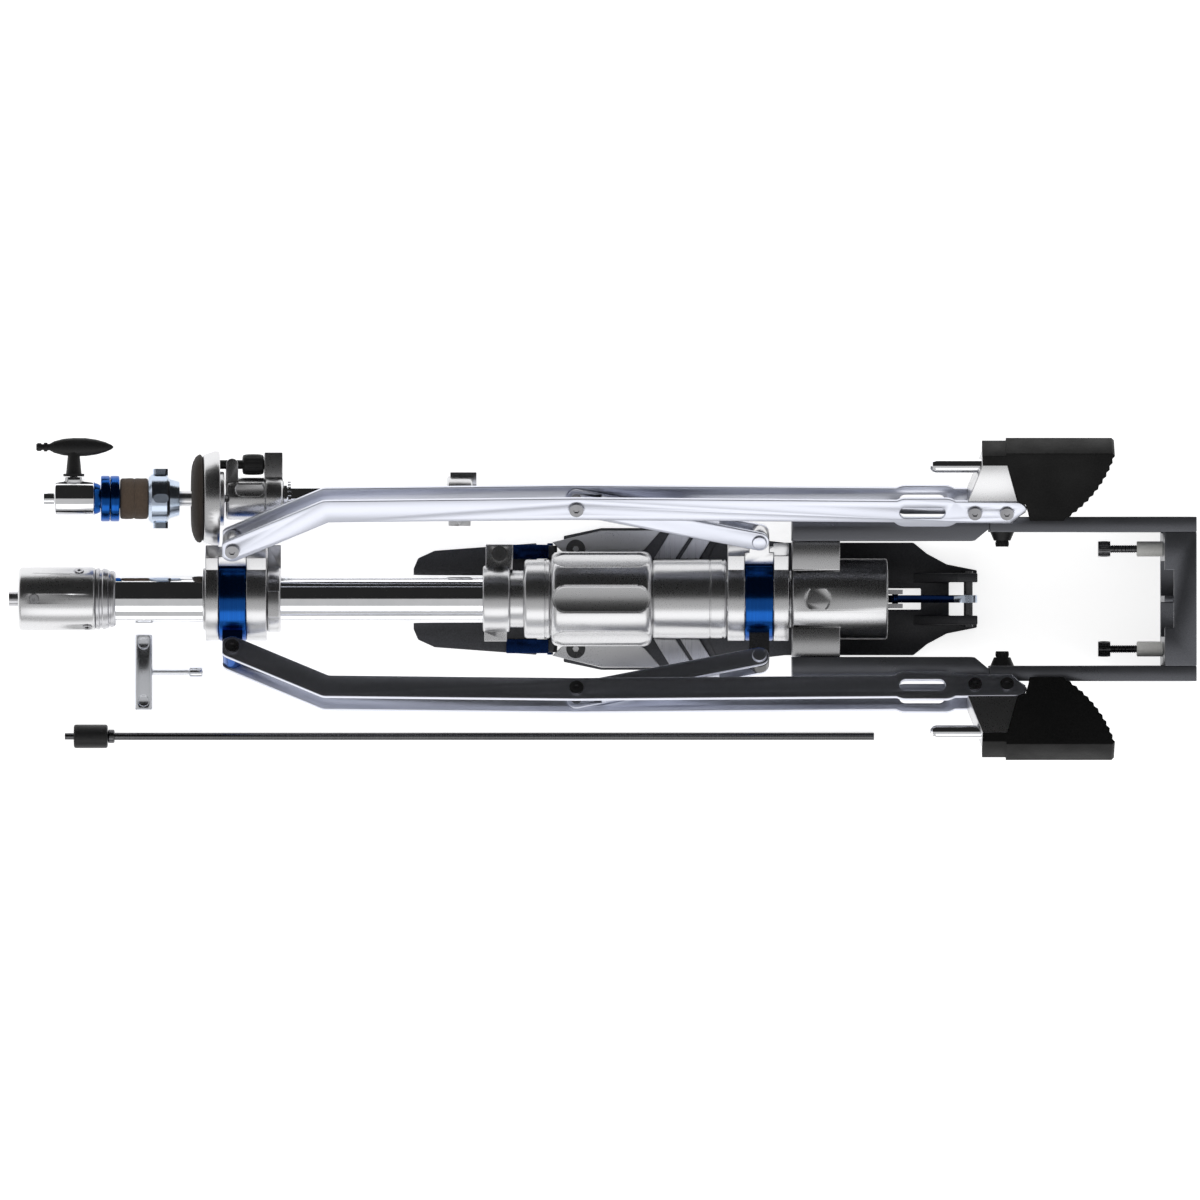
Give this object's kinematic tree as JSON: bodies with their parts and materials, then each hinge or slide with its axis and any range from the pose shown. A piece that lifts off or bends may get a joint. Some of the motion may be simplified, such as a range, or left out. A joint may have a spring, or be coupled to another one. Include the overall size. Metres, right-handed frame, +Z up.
{
  "type": "hi-hat stand",
  "caption": "Two-legged hi-hat stand with direct-link pedal, folded and laid out with its upper tube, clutch, pull rod and drum key.",
  "frame": {"origin": "centre of the bounding box on the surface that the folded stand lies on", "axes": "+X along the column towards its foot, +Y towards the upper section, +Z up from the surface"},
  "size_m": [0.7822, 0.2125, 0.1057],
  "materials": {
    "chrome": "polished",
    "satin_steel": "satin",
    "satin_aluminium": "satin",
    "leg_steel": "silver metallic",
    "screw_steel": "polished",
    "dark_steel": "satin",
    "black_paint": "satin",
    "frame_grey": "fine metallic",
    "board_grey": "powder coated",
    "blue_anodised": "anodised",
    "pale_steel": "satin",
    "black_plastic": "moulded",
    "nylon": "moulded",
    "black_rubber": "matt",
    "brown_felt": "felt",
    "key_steel": "satin"
  },
  "bodies": {
    "column": {"base_tube": "chrome", "top_barrel": "satin_aluminium", "barrel_collar": "dark_steel", "barrel_screws": "satin_steel", "stop_ring": "satin_aluminium", "stop_ring_screw": "black_paint", "cap_ring": "chrome", "spring_housing": "chrome", "rod_bush": "nylon", "base_casting": "satin_aluminium", "side_plate_left": "frame_grey", "side_plate_right": "frame_grey", "frame_screws": "screw_steel", "lower_frame_left": "frame_grey", "lower_frame_right": "frame_grey", "frame_nuts": "black_plastic", "foot_plate": "frame_grey", "return_spring": "satin_steel"},
    "dial": {"tension_dial": "chrome"},
    "pull_rod": {"lower_rod": "satin_steel"},
    "link": {"direct_link": "blue_anodised"},
    "footboard": {"footboard": "board_grey", "toe_axle": "dark_steel", "footboard_screws": "black_paint"},
    "heel": {"heel_plate": "board_grey", "heel_hinge": "blue_anodised"},
    "collar": {"collar_sleeve": "satin_aluminium"},
    "upper_left_ring": {"upper_silver_ring": "satin_aluminium"},
    "upper_right_ring": {"upper_blue_ring": "blue_anodised"},
    "leg_left": {"leg_left": "leg_steel", "leg_screws_left": "screw_steel", "foot_bracket_left": "satin_aluminium", "rubber_foot_left": "black_rubber"},
    "leg_right": {"leg_right": "leg_steel", "leg_screws_right": "screw_steel", "foot_bracket_right": "satin_aluminium", "rubber_foot_right": "black_rubber"},
    "spur_left": {"foot_spur_left": "chrome"},
    "spur_right": {"foot_spur_right": "chrome"},
    "lower_left_ring": {"lower_silver_ring": "satin_aluminium"},
    "lower_right_ring": {"lower_blue_ring": "blue_anodised", "lower_lug": "black_paint"},
    "brace_left": {"brace_left": "leg_steel"},
    "brace_right": {"brace_right": "leg_steel"},
    "anchor_left": {"anchor_spur_left": "dark_steel"},
    "anchor_right": {"anchor_spur_right": "dark_steel"},
    "upper_section": {"upper_tube": "chrome", "seat_housing": "satin_aluminium"},
    "memory_lock": {"memory_lock": "satin_aluminium"},
    "tilt_knob": {"tilt_knob": "black_plastic"},
    "seat": {"seat_cup": "chrome", "seat_felt": "brown_felt"},
    "clutch": {"clutch_body": "chrome", "clutch_rings": "blue_anodised", "clutch_felts": "brown_felt"},
    "clutch_screw": {"clutch_wing_screw": "black_plastic"},
    "clutch_nut": {"clutch_bottom_nut": "pale_steel"},
    "loose_rod": {"upper_rod": "dark_steel", "rod_grip": "black_plastic"},
    "key": {"drum_key": "key_steel"}
  },
  "joints": [
    {"name": "dial_turn", "type": "hinge", "parent": "column", "child": "dial", "pos_m": [-0.00115, 0, 0.042], "axis": [1, 0, 0], "continuous": true},
    {"name": "pedal_pull", "type": "slide", "parent": "column", "child": "pull_rod", "axis": [1, 0, 0], "range_m": [0, 0.035], "stiffness_N_per_m": 900, "springref_m": -0.03, "deforming": ["return_spring"]},
    {"name": "link_swing", "type": "hinge", "parent": "pull_rod", "child": "link", "pos_m": [0.19365, 0, 0.042], "axis": [0, -1, 0], "range_deg": [0, 21.5]},
    {"name": "footboard_fold", "type": "hinge", "parent": "link", "child": "footboard", "pos_m": [0.24245, 0, 0.022], "axis": [0, -1, 0], "range_deg": [0, 110]},
    {"name": "heel_fold", "type": "hinge", "parent": "footboard", "child": "heel", "pos_m": [-0.03415, 0, 0.0052], "axis": [0, 1, 0], "range_deg": [0, 25]},
    {"name": "collar_slide", "type": "slide", "parent": "column", "child": "collar", "axis": [1, 0, 0], "range_m": [0, 0.132]},
    {"name": "upper_left_swivel", "type": "hinge", "parent": "collar", "child": "upper_left_ring", "pos_m": [-0.2433, 0, 0.042], "axis": [1, 0, 0], "range_deg": [0, 40]},
    {"name": "upper_right_swivel", "type": "hinge", "parent": "collar", "child": "upper_right_ring", "pos_m": [-0.2433, 0, 0.042], "axis": [1, 0, 0], "range_deg": [-40, 12]},
    {"name": "lower_left_swivel", "type": "hinge", "parent": "column", "child": "lower_left_ring", "pos_m": [0.1038, 0, 0.042], "axis": [1, 0, 0], "range_deg": [0, 40]},
    {"name": "lower_right_swivel", "type": "hinge", "parent": "column", "child": "lower_right_ring", "pos_m": [0.1038, 0, 0.042], "axis": [1, 0, 0], "range_deg": [-40, 12]},
    {"name": "leg_left_swing", "type": "hinge", "parent": "upper_left_ring", "child": "leg_left", "pos_m": [-0.2433, 0.03638, 0.06134], "axis": [0, -0.4695, 0.8829], "range_deg": [0, 25.6]},
    {"name": "leg_right_swing", "type": "hinge", "parent": "upper_right_ring", "child": "leg_right", "pos_m": [-0.2433, -0.03638, 0.06134], "axis": [0, -0.4695, -0.8829], "range_deg": [0, 25.6]},
    {"name": "brace_left_swing", "type": "hinge", "parent": "lower_left_ring", "child": "brace_left", "pos_m": [0.1038, 0.04079, 0.06369], "axis": [0, 0.4695, -0.8829], "range_deg": [0, 66.7]},
    {"name": "brace_right_swing", "type": "hinge", "parent": "lower_right_ring", "child": "brace_right", "pos_m": [0.1038, -0.04079, 0.06369], "axis": [0, 0.4695, 0.8829], "range_deg": [0, 66.7]},
    {"name": "foot_spur_left_slide", "type": "slide", "parent": "leg_left", "child": "spur_left", "axis": [1, 0, 0], "range_m": [0, 0.008]},
    {"name": "foot_spur_right_slide", "type": "slide", "parent": "leg_right", "child": "spur_right", "axis": [1, 0, 0], "range_m": [0, 0.008]},
    {"name": "anchor_left_slide", "type": "slide", "parent": "column", "child": "anchor_left", "axis": [1, 0, 0], "range_m": [0, 0.008]},
    {"name": "anchor_right_slide", "type": "slide", "parent": "column", "child": "anchor_right", "axis": [1, 0, 0], "range_m": [0, 0.008]},
    {"name": "upper_section_away", "type": "slide", "parent": "column", "child": "upper_section", "axis": [-1, 0, 0], "range_m": [0, 0.1]},
    {"name": "memory_lock_slide", "type": "slide", "parent": "upper_section", "child": "memory_lock", "axis": [0.9988, 0, -0.0489], "range_m": [-0.05, 0.05]},
    {"name": "tilt_knob_turn", "type": "hinge", "parent": "upper_section", "child": "tilt_knob", "pos_m": [-0.22988, 0.0888, 0.03029], "axis": [0.9988, 0, -0.0489], "range_deg": [0, 360]},
    {"name": "seat_tilt", "type": "hinge", "parent": "upper_section", "child": "seat", "pos_m": [-0.24895, 0.0663, 0.03122], "axis": [0.0489, 0, 0.9988], "range_deg": [0, 3]},
    {"name": "clutch_lift", "type": "slide", "parent": "seat", "child": "clutch", "axis": [-0.9988, 0, 0.0489], "range_m": [0, 0.06]},
    {"name": "clutch_screw_turn", "type": "hinge", "parent": "clutch", "child": "clutch_screw", "pos_m": [-0.34863, 0.0863, 0.0361], "axis": [0, 1, 0], "continuous": true},
    {"name": "clutch_nut_turn", "type": "hinge", "parent": "clutch", "child": "clutch_nut", "pos_m": [-0.2911, 0.0663, 0.03329], "axis": [0.9988, 0, -0.0489], "continuous": true},
    {"name": "loose_rod_lift", "type": "slide", "parent": "column", "child": "loose_rod", "axis": [0, 0, 1], "range_m": [0, 0.1]},
    {"name": "drum_key_lift", "type": "slide", "parent": "column", "child": "key", "axis": [0, 0, 1], "range_m": [0, 0.1]}
  ],
  "couplings": [
    {"joint": "heel_fold", "follows": "footboard_fold", "ratio": 0.22727},
    {"joint": "lower_left_swivel", "follows": "upper_left_swivel", "ratio": 1},
    {"joint": "lower_right_swivel", "follows": "upper_right_swivel", "ratio": 1},
    {"joint": "tilt_knob_turn", "follows": "seat_tilt", "ratio": 119.9},
    {"joint": "leg_left_swing", "follows": "collar_slide", "rad_per_m": 3.3837},
    {"joint": "brace_left_swing", "follows": "collar_slide", "rad_per_m": 8.8099},
    {"joint": "leg_right_swing", "follows": "collar_slide", "rad_per_m": 3.3837},
    {"joint": "brace_right_swing", "follows": "collar_slide", "rad_per_m": 8.8099}
  ]
}
